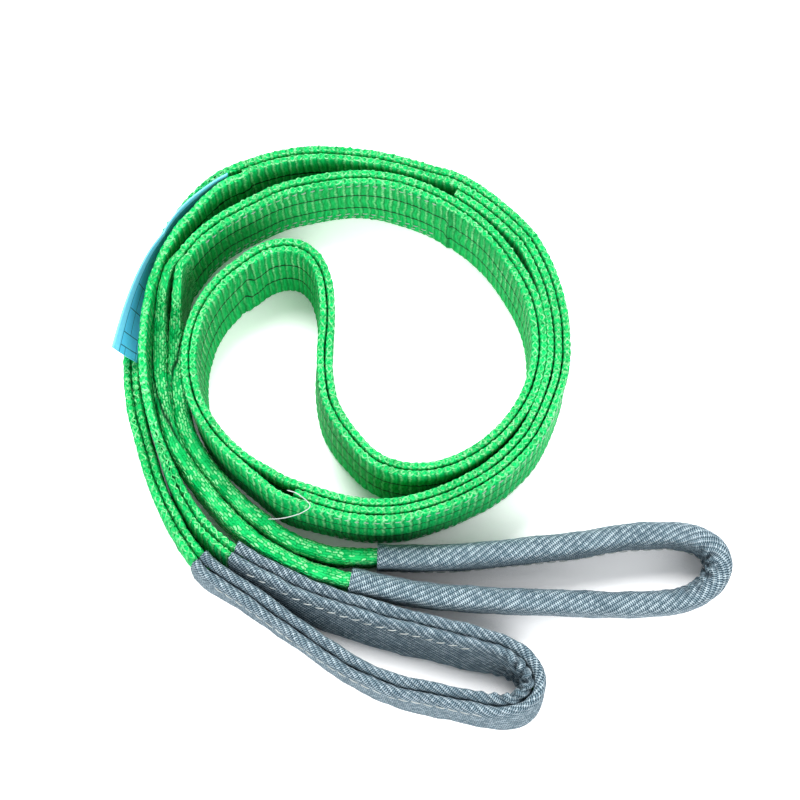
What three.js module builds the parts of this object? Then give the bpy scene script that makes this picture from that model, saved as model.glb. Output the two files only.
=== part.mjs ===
// Flat web lifting sling, eye and eye, two plies of 60 mm webbing, lying coiled with its webbing on edge.
// Millimetres, +Z up. The sling rests on z = 0 and the origin is under the middle of its box.
import * as THREE from 'three';

// Driving dimensions
const WEB_WIDTH = 58;              // 60 mm webbing as it measures; it stands on edge in the coil
const PLY = 3.3;                   // thickness of one ply
const GAP = 0.3;                   // clearance between neighbouring plies
const PITCH = PLY + GAP;
const LEG_HEIGHT = 30;             // an eye leg is the webbing folded in half along its length
const LEG_THICKNESS = 7.2;
const SLEEVE_WALL = 1.1;
// lean: how far the foot stands out towards -Y, at shares of the way round the eye from its inner leg
const FRONT_SLEEVE = {
  height: 33,
  width: 11.4,
  lean: [[0, 5.5], [0.2, 8.3], [0.34, 8], [0.45, 4.2], [0.6, 2.6], [0.82, -1.2], [1, 0.8]],
};
const RIGHT_SLEEVE = { height: 32.4, width: 12.6, lean: [[0, -3.8], [1, -3.8]] };
// flare: how far the foot of the coiled webbing stands out to the left of its route, at shares of the body
const FLARE = [
  [0, 0], [0.03, 2.2], [0.09, 1.8], [0.125, 0], [0.3, 0], [0.34, 1], [0.375, 2.4], [0.44, -0.8], [0.46, -0.6],
  [0.5, 2.2], [0.54, 2.2], [0.58, 0], [0.62, 0], [0.65, 1.6], [0.7, 1.8], [0.75, 0], [1, 0],
];
const LABEL = { thickness: 0.6, tabBottom: 38, bottom: 33.5, top: 59 };
const THREAD_PLATE = 0.8;          // thickness of a sewn zone's thread on the face of the webbing
const SEAM = { height: 2, thickness: 0.6 };
const STEP = 6;                    // distance between sections along a run
const EYE_STEP = 9;                // the same along a sleeved eye

// Plan routes, each from the right eye towards the front eye.
// The body: ring, S-bend, hook, inner loop, then the outer ring.
const RING_ROUTE = [
  [-107, 64], [-99, 74], [-87, 84], [-73, 92], [-59, 99], [-44, 103], [-29, 105.5], [-15, 106], [0, 103.5],
  [15, 98], [29, 89.7], [39, 81.7], [47.3, 72.9], [54.7, 62.4], [60.9, 51.4], [64.8, 41.3], [67, 29], [67.2, 17],
  [65.2, 6], [61.8, -4], [56.7, -13], [50, -21.5], [40.5, -30], [29, -36.9], [19, -40.4], [8.6, -41.6],
  [-0.8, -40.6], [-9.2, -37.7], [-16.2, -32.6], [-23.4, -24.4], [-29.8, -15.2], [-34, -5.4],
];
const HOOK_ROUTE = [
  [-36, 7], [-36.2, 19], [-35.2, 31], [-35.3, 42.4], [-37, 54], [-40.8, 63], [-47, 69], [-54.8, 71],
  [-62.5, 70], [-70, 66.6], [-77.2, 61.3], [-84, 56], [-90, 49.5], [-95, 42], [-98.6, 34], [-101, 25], [-102, 16],
  [-101.8, 8], [-100.4, 0], [-98.2, -7], [-94.5, -14.3], [-89.4, -22], [-82.7, -29.6], [-74.7, -36.7], [-65.6, -43.3],
  [-55.4, -50],
];
const OUTER_ROUTE = [
  [-42, -55], [-29, -59], [-14, -61.2], [3, -60.2], [21, -54.8], [31.5, -50], [42, -44], [51.7, -36.2],
  [61.7, -25], [67.4, -15], [71.6, -5], [74.8, 5], [76.3, 14], [76.6, 22], [76.2, 32], [74.6, 42], [72, 52],
  [68.2, 62], [62.4, 73.2], [56, 80.6], [48.4, 87.9], [39.3, 95.4], [29.3, 101.9], [20.3, 106.5], [10.2, 110.4],
  [0, 113.4], [-10, 115.8], [-20, 117.4], [-29, 118.3], [-39, 118.8], [-49, 118.3], [-59.3, 116.6], [-69.6, 113.6],
  [-78, 110.4],
];
// The four legs, from their crotch to the mouth of their sleeve.
const RIGHT_OUTER_LEG = [
  [-108.6, 65.2], [-113.2, 59], [-116.4, 50], [-118, 40], [-118.7, 30], [-118.7, 20], [-118, 10], [-116.4, 0],
  [-114, -10], [-110.4, -21], [-104.8, -31], [-97.8, -41], [-88.8, -51.5], [-78, -63], [-68, -71], [-58, -77.3],
  [-48, -82.2], [-38, -86], [-28, -88.8], [-23, -89.8],
];
const RIGHT_INNER_LEG = [
  [-106.1, 62.2], [-107.5, 58.5], [-108.8, 51], [-109.7, 40], [-110.7, 30], [-110.8, 20], [-110, 10], [-108.5, 0],
  [-106, -11], [-101.6, -21], [-95, -31], [-87, -41], [-77, -51.3], [-66, -60.5], [-58, -66.5], [-48.5, -71.7],
  [-39, -75], [-29, -77], [-19, -77.6], [-13.8, -77.6],
];
const FRONT_OUTER_LEG = [
  [-79.3, 112.3], [-85.2, 110], [-92.4, 106.8], [-99.6, 102.3], [-106.5, 96.7], [-112.8, 89.6], [-117.8, 82],
  [-122, 72.9], [-125.3, 64.3], [-128.3, 54], [-130.6, 43], [-132.1, 30], [-132.6, 18], [-132.1, 9], [-130.6, -1.2],
  [-128.5, -10.4], [-125.7, -20.4], [-122.3, -31.4], [-118.8, -41.5], [-114.4, -51.5], [-109.3, -60.8],
  [-104.1, -69.5], [-99.6, -75.6],
];
const FRONT_INNER_LEG = [
  [-77.2, 107], [-83, 104.6], [-89, 100.8], [-94.8, 95.5], [-100.5, 89], [-106, 82.8], [-111, 75.6], [-115, 68],
  [-118.2, 60], [-121, 51], [-122.9, 41], [-124, 31], [-124.4, 20], [-123.9, 9], [-122.5, -1], [-120.3, -11],
  [-117.7, -20.5], [-114.1, -31], [-109.8, -41], [-104.2, -50.8], [-97, -60.8], [-88.8, -69], [-83.2, -73.4],
];
// The sleeved loops, from the inner leg round the tip to the outer leg.
const FRONT_EYE = [
  [-80.2, -75.6], [-66, -83.8], [-48, -93], [-35, -98], [-22, -102.2], [-5, -107.2], [10, -111], [25, -114.8],
  [38, -118], [50, -122], [59.5, -128.5], [64, -136.5], [62.5, -144], [55.5, -149], [45, -150], [33, -148],
  [14, -144], [-3, -140.4], [-22, -132], [-35, -124], [-48, -115], [-61, -105.6], [-72, -97.7],
  [-85, -89], [-92, -84.2], [-97, -79],
];
const RIGHT_EYE = [
  [-11, -77.6], [0, -77.8], [12, -78], [29, -77.6], [48, -75.6], [68, -73.6], [87, -71.4], [106, -68], [122, -66.8],
  [135.4, -66.8], [146, -69.4], [152.9, -74.7], [154.8, -81.8], [152.2, -89], [146, -94.8], [138, -98.4], [127, -100.4],
  [115, -101], [96, -100.8], [77, -100.2], [58, -99.4], [38, -98.6], [19, -97.2], [0, -94.4], [-10, -92.4],
  [-20, -90.4],
];
// The label's lower edge, and how far its top edge leans out at the hinge and at the free end.
const TAB_ROUTE = [[-84.6, 107.3], [-91, 103.4], [-97.8, 98.2], [-104.2, 92.6], [-110, 86], [-114.6, 78.6]];
const LABEL_ROUTE = [
  [-115.4, 76.4], [-119.5, 68], [-122.6, 59], [-125, 49], [-126.8, 38], [-128, 27], [-128.8, 17],
];
const LABEL_LEAN = [0.4, 10.2];

const webGreen = () => new THREE.MeshStandardMaterial({ color: 0x14b854, roughness: 0.75, metalness: 0 });
const sleeveGrey = () => new THREE.MeshStandardMaterial({ color: 0x5f7c92, roughness: 0.85, metalness: 0 });
const labelBlue = () => new THREE.MeshStandardMaterial({ color: 0x4db8ee, roughness: 0.6, metalness: 0 });
const threadCream = () => new THREE.MeshStandardMaterial({ color: 0xd9ecc8, roughness: 0.8, metalness: 0 });

const sling = new THREE.Group();

// Evenly spaced stations along a smooth plan route, each with its place, its left-hand normal and its share
// of the run; from and to are shares of the whole route.
function stations(route, from = 0, to = 1, step = STEP) {
  const curve = new THREE.CatmullRomCurve3(route.map(([x, y]) => new THREE.Vector3(x, y, 0)));
  curve.arcLengthDivisions = 2000;
  const count = Math.max(4, Math.round((curve.getLength() * (to - from)) / step));
  return Array.from({ length: count + 1 }, (_, i) => {
    const share = from + ((to - from) * i) / count;
    const place = curve.getPointAt(share);
    const tangent = curve.getTangentAt(share);
    return { place, left: new THREE.Vector3(-tangent.y, tangent.x, 0), share: i / count };
  });
}

// The value of a table of [share, value] pairs, easing from each pair to the next.
function fromTable(table, share) {
  const next = table.findIndex(([at]) => at >= share);
  if (next < 1) return table[next < 0 ? table.length - 1 : 0][1];
  const [[from, before], [to, after]] = [table[next - 1], table[next]];
  return THREE.MathUtils.lerp(before, after, THREE.MathUtils.smoothstep(share, from, to));
}

// A closed body through equal sections. Each section is a list of loops; loop 0 is the outside, loop 1 a bore.
function loft(sections, bored = false) {
  const vertices = [];
  const faces = [];
  const size = sections[0][0].length;
  const loops = bored ? 2 : 1;
  sections.forEach((section) => section.forEach((loop) => loop.forEach((p) => vertices.push(p.x, p.y, p.z))));
  const at = (s, loop, i) => (s * loops + loop) * size + (i % size);
  for (let s = 0; s < sections.length - 1; s += 1) {
    for (let loop = 0; loop < loops; loop += 1) {
      for (let i = 0; i < size; i += 1) {
        const quad = [at(s, loop, i), at(s, loop, i + 1), at(s + 1, loop, i + 1), at(s + 1, loop, i)];
        if (loop === 0) quad.reverse();
        faces.push(quad[0], quad[1], quad[2], quad[0], quad[2], quad[3]);
      }
    }
  }
  [0, sections.length - 1].forEach((s) => {
    for (let i = 0; i < (bored ? size : size - 2); i += 1) {
      const cap = bored
        ? [[at(s, 0, i), at(s, 1, i), at(s, 1, i + 1)], [at(s, 0, i), at(s, 1, i + 1), at(s, 0, i + 1)]]
        : [[at(s, 0, 0), at(s, 0, i + 2), at(s, 0, i + 1)]];
      cap.forEach((t) => faces.push(...(s === 0 ? t.reverse() : t)));
    }
  });
  const geometry = new THREE.BufferGeometry();
  geometry.setAttribute('position', new THREE.Float32BufferAttribute(vertices, 3));
  geometry.setIndex(faces);
  geometry.computeVertexNormals();
  return geometry;
}

// A point of a station's upright section: `across` to its left, `up` from the floor.
const sectionPoint = (station, across, up) => station.place.clone()
  .addScaledVector(station.left, across).setZ(up);

// Section outlines, as shares of half the width and of the height, counter-clockwise seen against the run.
const mirrored = (half) => [
  ...half, ...half.slice().reverse().map(([a, up]) => [-a, up]),
];
// From the right-hand flank over the foot or the crown to the left-hand flank.
const outline = (foot, crown) => [...mirrored(foot), ...mirrored(crown).reverse().map(([a, up]) => [a, up])];
const SQUARE_EDGE = [[1, 0.03], [0.75, 0.008], [0.3, 0]];
const ROUND_EDGE = [[1, 0.32], [0.78, 0.1], [0.32, 0]];
const OPEN_EDGE = [[1, 0.1], [0.85, 0.02], [0.4, 0]];
const crownOf = (edge) => edge.map(([a, up]) => [a, 1 - up]);
const PLY_OUTLINE = outline(SQUARE_EDGE, crownOf(SQUARE_EDGE));
const CLOSED_FOLD = outline(ROUND_EDGE, crownOf(ROUND_EDGE));   // the fold is on top
const OPEN_FOLD = outline(ROUND_EDGE, crownOf(OPEN_EDGE));      // both selvedges are on top

const blendOutlines = (one, other, t) => one.map(([a, up], i) => [
  THREE.MathUtils.lerp(a, other[i][0], t), THREE.MathUtils.lerp(up, other[i][1], t),
]);

// A section of any outline; `lean` moves its foot towards -Y.
function outlineSection(station, shape, { width, bottom, top, lean = 0 }) {
  return shape.map(([a, up]) => {
    const point = sectionPoint(station, (a * width) / 2, THREE.MathUtils.lerp(bottom, top, up));
    point.y -= lean * (1 - point.z / LEG_HEIGHT);
    return point;
  });
}

// A plain rectangular section; `foot` and `slant` move its lower and upper edge to the left.
function uprightSection(station, { across = 0, width, bottom, top, foot = 0, slant = 0 }) {
  const half = width / 2;
  return [[half, bottom, foot], [-half, bottom, foot], [-half, top, slant], [half, top, slant]]
    .map(([a, up, shift]) => sectionPoint(station, across + a + shift, up));
}

function addPart(name, geometry, material) {
  const mesh = new THREE.Mesh(geometry, material);
  mesh.name = name;
  sling.add(mesh);
  return mesh;
}

const smooth = (t) => THREE.MathUtils.smoothstep(t, 0, 1);

// One run of a ply on edge, offset to the left of the route by across(share).
function addPlyRun(name, route, across, from = 0, to = 1) {
  const sections = stations(route, from, to).map((station) => [uprightSection(station, {
    across: across(station.share),
    width: PLY,
    bottom: 0,
    top: WEB_WIDTH,
    foot: fromTable(FLARE, from + (to - from) * station.share),
  })]);
  addPart(name, loft(sections), webGreen());
}

// The whole body route, and the shares of it where its runs meet.
const BODY_ROUTE = [...RING_ROUTE, ...HOOK_ROUTE, ...OUTER_ROUTE];
const RUN_BREAK = 0.001;
const HOOK_START = 0.4;
const LAP_START = 0.626;
const LAP_END = 0.892;
const SPREAD = 0.05;               // share of a run over which two plies move apart to let in the third

// Plies a and b run side by side; ply c joins between them for the lap, and ply a ends at the lap's far end.
const side = PITCH / 2;
addPlyRun('ply_a_ring_run', BODY_ROUTE, () => side, 0, HOOK_START - RUN_BREAK);
addPlyRun('ply_a_hook_run', BODY_ROUTE, (t) => side + side * smooth((t - 0.86) / 0.14), HOOK_START, LAP_START);
addPlyRun('ply_a_lap_run', BODY_ROUTE, () => PITCH, LAP_START + RUN_BREAK, LAP_END);
addPlyRun('ply_b_ring_run', BODY_ROUTE, () => -side, 0, HOOK_START - RUN_BREAK);
addPlyRun('ply_b_hook_run', BODY_ROUTE, (t) => -side - side * smooth((t - 0.86) / 0.14), HOOK_START, LAP_START);
const LAP_SHARE = (LAP_END - LAP_START) / (1 - LAP_START);
const closing = (t) => smooth((t - LAP_SHARE) / SPREAD);
addPlyRun('ply_b_outer_run', BODY_ROUTE, (t) => -PITCH + side * closing(t), LAP_START + RUN_BREAK, 1);
addPlyRun('ply_c_outer_run', BODY_ROUTE, (t) => side * closing(t), LAP_START + RUN_BREAK, 1);

// An eye leg: one ply at the crotch, which closes into the folded webbing between foldStart and foldEnd.
function addLeg(name, route, folded, foldStart, foldEnd, lean = 0) {
  const all = stations(route);
  const length = (all.length - 1) * STEP;
  const sections = all.map((station) => {
    const t = smooth((station.share * length - foldStart) / (foldEnd - foldStart));
    return [outlineSection(station, blendOutlines(PLY_OUTLINE, folded, t), {
      width: THREE.MathUtils.lerp(PLY, LEG_THICKNESS, t),
      bottom: 0,
      top: THREE.MathUtils.lerp(WEB_WIDTH, LEG_HEIGHT, t),
      lean: lean * smooth((station.share - 0.6) / 0.4),
    })];
  });
  addPart(name, loft(sections), webGreen());
}
addLeg('right_eye_outer_leg', RIGHT_OUTER_LEG, CLOSED_FOLD, 0, 52, RIGHT_SLEEVE.lean[1][1]);
addLeg('right_eye_inner_leg', RIGHT_INNER_LEG, CLOSED_FOLD, 0, 52, RIGHT_SLEEVE.lean[0][1]);
addLeg('front_eye_outer_leg', FRONT_OUTER_LEG, OPEN_FOLD, 0, 52, FRONT_SLEEVE.lean.at(-1)[1]);
addLeg('front_eye_inner_leg', FRONT_INNER_LEG, OPEN_FOLD, 140, 190, FRONT_SLEEVE.lean[0][1]);

// A sleeved eye: the cloth tube and the folded webbing inside it.
function addEye(prefix, route, folded, { height, width, lean }) {
  const wall = SLEEVE_WALL;
  const outer = { width, bottom: 0, top: height };
  const bore = { width: width - 2 * wall, bottom: wall, top: height - wall };
  const inside = { width: LEG_THICKNESS, bottom: wall + 2 * GAP, top: height - wall - 2 * GAP };
  const places = stations(route, 0, 1, EYE_STEP);
  const section = (s, size) => outlineSection(s, folded, { ...size, lean: fromTable(lean, s.share) });
  const sleeve = places.map((s) => [section(s, outer), section(s, bore)]);
  addPart(`${prefix}_eye_sleeve`, loft(sleeve, true), sleeveGrey());
  addPart(`${prefix}_eye_web`, loft(places.map((s) => [section(s, inside)])), webGreen());
}
addEye('front', FRONT_EYE, OPEN_FOLD, FRONT_SLEEVE);
addEye('right', RIGHT_EYE, CLOSED_FOLD, RIGHT_SLEEVE);

// A row of seam stitches on a sleeve, on its left (1) or right (-1) flank.
function addSeam(name, route, { width, lean }, face, height, from, to) {
  const sections = stations(route, from, to).map((s) => {
    const corners = uprightSection(s, {
      across: face * (width / 2 + 2 * GAP + SEAM.thickness / 2), width: SEAM.thickness,
      bottom: height, top: height + SEAM.height,
    });
    const foot = fromTable(lean, from + (to - from) * s.share);
    corners.forEach((point) => { point.y -= foot * (1 - point.z / LEG_HEIGHT); });
    return [corners];
  });
  addPart(name, loft(sections), threadCream());
}
addSeam('front_sleeve_seam_inner_leg', FRONT_EYE, FRONT_SLEEVE, -1, 25, 0.02, 0.36);
addSeam('front_sleeve_seam_outer_leg', FRONT_EYE, FRONT_SLEEVE, 1, 25, 0.56, 0.98);
addSeam('right_sleeve_seam', RIGHT_EYE, RIGHT_SLEEVE, -1, 5, 0.03, 0.97);

// Sewn zones: the thread that shows on the face of the webbing at the lap and at both crotches.
function addStitching(name, route, across, from, to) {
  const plate = { across, width: THREAD_PLATE, bottom: 6, top: WEB_WIDTH - 6 };
  const sections = stations(route, from, to).map((s) => {
    const flare = fromTable(FLARE, from + (to - from) * s.share);
    return [uprightSection(s, {
      ...plate,
      foot: flare * (1 - plate.bottom / WEB_WIDTH),
      slant: flare * (1 - plate.top / WEB_WIDTH),
    })];
  });
  addPart(name, loft(sections), threadCream());
}
const plateOnTwo = PITCH / 2 + PLY / 2 + GAP + THREAD_PLATE / 2;
const plateOnThree = PITCH + PLY / 2 + GAP + THREAD_PLATE / 2;
addStitching('right_splice_stitching', BODY_ROUTE, -plateOnTwo, 0.012, 0.14);
addStitching('lap_stitching', BODY_ROUTE, -plateOnThree, LAP_START + 0.02, LAP_END - 0.02);
addStitching('front_splice_stitching', BODY_ROUTE, -plateOnTwo, 0.94, 0.99);

// The label: its sewn end lies between the plies of the front crotch, and the rest hangs over the outer leg.
function addLabelPart(name, route, bottom, leanStart, leanEnd) {
  const sections = stations(route, 0, 1, 8).map((s) => [uprightSection(s, {
    width: LABEL.thickness, bottom, top: LABEL.top,
    slant: -THREE.MathUtils.lerp(leanStart, leanEnd, s.share),
  })]);
  addPart(name, loft(sections), labelBlue());
}
addLabelPart('label_tab', TAB_ROUTE, LABEL.tabBottom, 0, 0);
addLabelPart('label', LABEL_ROUTE, LABEL.bottom, LABEL_LEAN[0], LABEL_LEAN[1]);

// Put the origin under the middle of the whole sling.
const box = new THREE.Box3().setFromObject(sling);
const middle = box.getCenter(new THREE.Vector3());
sling.position.set(-middle.x, -middle.y, -box.min.z);
sling.updateMatrixWorld(true);

export default sling;
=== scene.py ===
import math
from functools import partialmethod

import bpy
import numpy as np
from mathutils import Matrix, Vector


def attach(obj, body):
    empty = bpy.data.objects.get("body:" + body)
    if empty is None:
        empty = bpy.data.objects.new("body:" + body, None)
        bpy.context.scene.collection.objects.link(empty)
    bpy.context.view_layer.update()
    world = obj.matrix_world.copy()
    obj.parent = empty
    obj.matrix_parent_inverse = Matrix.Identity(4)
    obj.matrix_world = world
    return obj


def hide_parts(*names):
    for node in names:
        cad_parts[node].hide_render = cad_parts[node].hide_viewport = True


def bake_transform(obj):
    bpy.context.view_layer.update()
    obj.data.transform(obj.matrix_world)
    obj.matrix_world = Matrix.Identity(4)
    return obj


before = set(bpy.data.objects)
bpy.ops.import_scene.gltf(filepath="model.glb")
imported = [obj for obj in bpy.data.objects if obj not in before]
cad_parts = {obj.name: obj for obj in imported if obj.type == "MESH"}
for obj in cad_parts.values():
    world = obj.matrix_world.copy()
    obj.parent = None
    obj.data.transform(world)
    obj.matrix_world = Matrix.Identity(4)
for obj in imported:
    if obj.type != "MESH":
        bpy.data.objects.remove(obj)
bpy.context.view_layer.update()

# ---------------------------------------- sizes, in millimetres as in the CAD
MM = 0.001
SHIFT = np.array([-10.530, 17.184])  # from the routes' frame to the model's frame
WEB = 58.0  # width of the webbing, which stands on edge
PLY = 3.3  # thickness of a ply where it becomes a leg
HALF = 1.45  # half a ply's thickness under its ribs
PITCH = 4.1  # spacing of the plies side by side
SIDE = PITCH / 2
RIB = 4.0  # spacing of the ribs across the webbing
LOOP = 3.6  # spacing of the selvedge's loops
YARN = 0.36  # radius of a selvedge's yarn
LEG_HEIGHT = 30.0
LEG_EDGE = WEB - 0.6  # top of a leg's cloth while it is one ply
FOLD_EDGE = LEG_HEIGHT - 0.5  # and where it is folded in half
LEAN_FROM = 0.6  # share of a leg's route at which its foot starts to lean
TWILL = math.radians(33)  # slant of the cords of the sleeves' twill
CORD = 2.6  # spacing of those cords
SEWN_FACE = 1.75  # from a ply's middle to the stitches on its face
# Where a leg starts to fold in half and where it is folded, along its route.
RIGHT_FOLD = (3, 49)
FRONT_OUTER_FOLD = (3, 55)
FRONT_INNER_FOLD = (143, 193)
# How far the foot of each eye leans towards -Y, by share of the eye from its inner leg.
FRONT_LEAN = [(0, 5.5), (0.2, 8.3), (0.34, 8), (0.45, 4.2), (0.6, 2.6), (0.82, -1.2), (1, 0.8)]
RIGHT_LEAN = [(0, -3.8), (1, -3.8)]
# Shares of the body's route: starts of the hook and the lap, the lap's end, and the stretch it closes in.
HOOK_START, LAP_START, LAP_END, SPREAD = 0.4, 0.626, 0.892, 0.05
PARTING = 0.86  # share of the hook from which its plies part for the third one
# The label: the strip is sewn in up to its hinge and hangs free after it.
LABEL_TOP = 59.0
LABEL_HEIGHT = 25.5
TAB_FOOT = 38.0  # height of the sewn stretch's lower edge
LABEL_DROP = 4.5  # how much lower the free stretch's edge is
LABEL_HINGE = 0.42  # share of its route

BODY_ROUTE = [
    (-107, 64), (-99, 74), (-87, 84), (-73, 92), (-59, 99), (-44, 103), (-29, 105.5), (-15, 106),
    (0, 103.5), (15, 98), (29, 89.7), (39, 81.7), (47.3, 72.9), (54.7, 62.4), (60.9, 51.4), (64.8, 41.3),
    (67, 29), (67.2, 17), (65.2, 6), (61.8, -4), (56.7, -13), (50, -21.5), (40.5, -30), (29, -36.9),
    (19, -40.4), (8.6, -41.6), (-0.8, -40.6), (-9.2, -37.7), (-16.2, -32.6), (-23.4, -24.4), (-29.8, -15.2),
    (-34, -5.4), (-36, 7), (-36.2, 19), (-35.2, 31), (-35.3, 42.4), (-37, 54), (-40.8, 63), (-47, 69),
    (-54.8, 71), (-62.5, 70), (-70, 66.6), (-77.2, 61.3), (-84, 56), (-90, 49.5), (-95, 42), (-98.6, 34),
    (-101, 25), (-102, 16), (-101.8, 8), (-100.4, 0), (-98.2, -7), (-94.5, -14.3), (-89.4, -22),
    (-82.7, -29.6), (-74.7, -36.7), (-65.6, -43.3), (-55.4, -50), (-42, -55), (-29, -59), (-14, -61.2),
    (3, -60.2), (21, -54.8), (31.5, -50), (42, -44), (51.7, -36.2), (61.7, -25), (67.4, -15), (71.6, -5),
    (74.8, 5), (76.3, 14), (76.6, 22), (76.2, 32), (74.6, 42), (72, 52), (68.2, 62), (62.4, 73.2),
    (56, 80.6), (48.4, 87.9), (39.3, 95.4), (29.3, 101.9), (20.3, 106.5), (10.2, 110.4), (0, 113.4),
    (-10, 115.8), (-20, 117.4), (-29, 118.3), (-39, 118.8), (-49, 118.3), (-59.3, 116.6), (-69.6, 113.6),
    (-78, 110.4),
]
# The legs begin a little back along the body and run on into the mouths of their sleeves.
RIGHT_OUTER_LEG = [
    (-106.7, 67.5), (-108.6, 65.2), (-113.2, 59), (-116.4, 50), (-118, 40), (-118.7, 30), (-118.7, 20),
    (-118, 10), (-116.4, 0), (-114, -10), (-110.4, -21), (-104.8, -31), (-97.8, -41), (-88.8, -51.5),
    (-78, -63), (-68, -71), (-58, -77.3), (-48, -82.2), (-38, -86), (-28, -88.8), (-23, -89.8),
    (-13, -91.8),
]
RIGHT_INNER_LEG = [
    (-103.6, 65), (-106.1, 62.2), (-107.5, 58.5), (-108.8, 51), (-109.7, 40), (-110.7, 30), (-110.8, 20),
    (-110, 10), (-108.5, 0), (-106, -11), (-101.6, -21), (-95, -31), (-87, -41), (-77, -51.3), (-66, -60.5),
    (-58, -66.5), (-48.5, -71.7), (-39, -75), (-29, -77), (-19, -77.6), (-13.8, -77.6), (-3, -77.7),
]
FRONT_OUTER_LEG = [
    (-75.9, 113.4), (-79.3, 112.3), (-85.2, 110), (-92.4, 106.8), (-99.6, 102.3), (-106.5, 96.7),
    (-112.8, 89.6), (-117.8, 82), (-122, 72.9), (-125.3, 64.3), (-128.3, 54), (-130.6, 43), (-132.1, 30),
    (-132.6, 18), (-132.1, 9), (-130.6, -1.2), (-128.5, -10.4), (-125.7, -20.4), (-122.3, -31.4),
    (-118.8, -41.5), (-114.4, -51.5), (-109.3, -60.8), (-104.1, -69.5), (-99.6, -75.6), (-92, -84.2),
]
FRONT_INNER_LEG = [
    (-74.5, 109.5), (-77.2, 107), (-83, 104.6), (-89, 100.8), (-94.8, 95.5), (-100.5, 89), (-106, 82.8),
    (-111, 75.6), (-115, 68), (-118.2, 60), (-121, 51), (-122.9, 41), (-124, 31), (-124.4, 20), (-123.9, 9),
    (-122.5, -1), (-120.3, -11), (-117.7, -20.5), (-114.1, -31), (-109.8, -41), (-104.2, -50.8),
    (-97, -60.8), (-88.8, -69), (-83.2, -73.4), (-73, -79.8),
]
FRONT_EYE = [
    (-80.2, -75.6), (-66, -83.8), (-48, -93), (-35, -98), (-22, -102.2), (-5, -107.2), (10, -111),
    (25, -114.8), (38, -118), (50, -122), (59.5, -128.5), (64, -136.5), (62.5, -144), (55.5, -149),
    (45, -150), (33, -148), (14, -144), (-3, -140.4), (-22, -132), (-35, -124), (-48, -115), (-61, -105.6),
    (-72, -97.7), (-85, -89), (-92, -84.2), (-97, -79),
]
RIGHT_EYE = [
    (-11, -77.6), (0, -77.8), (12, -78), (29, -77.6), (48, -75.6), (68, -73.6), (87, -71.4), (106, -68),
    (122, -66.8), (135.4, -66.8), (146, -69.4), (152.9, -74.7), (154.8, -81.8), (152.2, -89), (146, -94.8),
    (138, -98.4), (127, -100.4), (115, -101), (96, -100.8), (77, -100.2), (58, -99.4), (38, -98.6),
    (19, -97.2), (0, -94.4), (-10, -92.4), (-24.5, -89.5),
]
LABEL_ROUTE = [
    (-84.6, 107.3), (-91, 103.4), (-97.8, 98.2), (-104.2, 92.6), (-110, 86), (-114.6, 78.6), (-115.4, 76.4),
    (-119.5, 68), (-122.6, 59), (-125, 49), (-126.8, 38), (-128, 27), (-128.8, 17),
]
# How far the foot of the plies stands to the left of the route, by share of the body.
FLARE = [
    (0, 0), (0.03, 2.2), (0.09, 1.8), (0.125, 0), (0.3, 0), (0.34, 1), (0.375, 2.4), (0.5, 2.2),
    (0.54, 2.2), (0.58, 0), (0.62, 0), (0.65, 1.6), (0.7, 1.8), (0.75, 0), (1, 0),
]


# ---------------------------------------- curves
class Route:
    """A smooth centripetal curve through plan points, with places and left-hand normals by arc length."""

    def __init__(self, points):
        p = np.array(points, float)
        p = np.vstack([2 * p[0] - p[1], p, 2 * p[-1] - p[-2]])
        u = np.linspace(0, 1, 24, endpoint=False)[:, None]
        out = []
        for i in range(1, len(p) - 2):
            dt = [max(np.sum((p[i + k] - p[i + k - 1]) ** 2) ** 0.25, 1e-4) for k in range(3)]
            a, b = p[i], p[i + 1]
            before, here, after = (a - p[i - 1]) / dt[0], (b - a) / dt[1], (p[i + 2] - b) / dt[2]
            t1 = (before - (b - p[i - 1]) / (dt[0] + dt[1]) + here) * dt[1]
            t2 = (here - (p[i + 2] - a) / (dt[1] + dt[2]) + after) * dt[1]
            out.append(a + t1 * u + (-3 * a + 3 * b - 2 * t1 - t2) * u**2 + (2 * a - 2 * b + t1 + t2) * u**3)
        self.p = np.vstack(out + [p[-2][None]]) + SHIFT
        self.s = np.concatenate([[0], np.cumsum(np.linalg.norm(np.diff(self.p, axis=0), axis=1))])
        self.length = self.s[-1]
        self.t = np.gradient(self.p, self.s, axis=0)

    def at(self, s):
        place = np.stack([np.interp(s, self.s, self.p[:, k]) for k in range(2)], -1)
        t = np.stack([np.interp(s, self.s, self.t[:, k]) for k in range(2)], -1)
        t /= np.linalg.norm(t, axis=-1, keepdims=True)
        return place, np.stack([-t[..., 1], t[..., 0]], -1)

    def point(self, s, across, up, lean=0.0):
        """Points at arc length s, `across` to the left and `up` from the floor; lean moves the foot to -Y."""
        place, left = self.at(s)
        xy = place + left * np.asarray(across)[..., None]
        up = np.broadcast_to(up, xy.shape[:-1])
        y = xy[..., 1] - lean * (1 - up / LEG_HEIGHT)
        return np.stack([xy[..., 0], y, up], -1)


def smooth(t):
    t = np.clip(t, 0, 1)
    return t * t * (3 - 2 * t)


def eased(table, share):
    """The value of a table of (share, value) pairs, easing from each pair to the next."""
    places, values = np.array(table, float).T
    share = np.asarray(share, float)
    i = np.clip(np.searchsorted(places, share) - 1, 0, len(places) - 2)
    t = smooth((share - places[i]) / (places[i + 1] - places[i]))
    return values[i] + (values[i + 1] - values[i]) * t


def bell(x, width):
    return np.exp(-((x / width) ** 2))


def wobble(s, scale, seed):
    """Smooth repeatable unevenness along s, between -1 and 1."""
    k = np.array([1.0, 1.73, 2.91, 4.37])
    a = np.array([0.45, 0.3, 0.17, 0.08])
    ph = np.array([0.7, 2.1, 4.4, 5.9]) * (seed + 1.37)
    s = np.asarray(s)[..., None]
    return np.sum(a * np.sin(2 * np.pi * s * k / scale + ph), -1)


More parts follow.
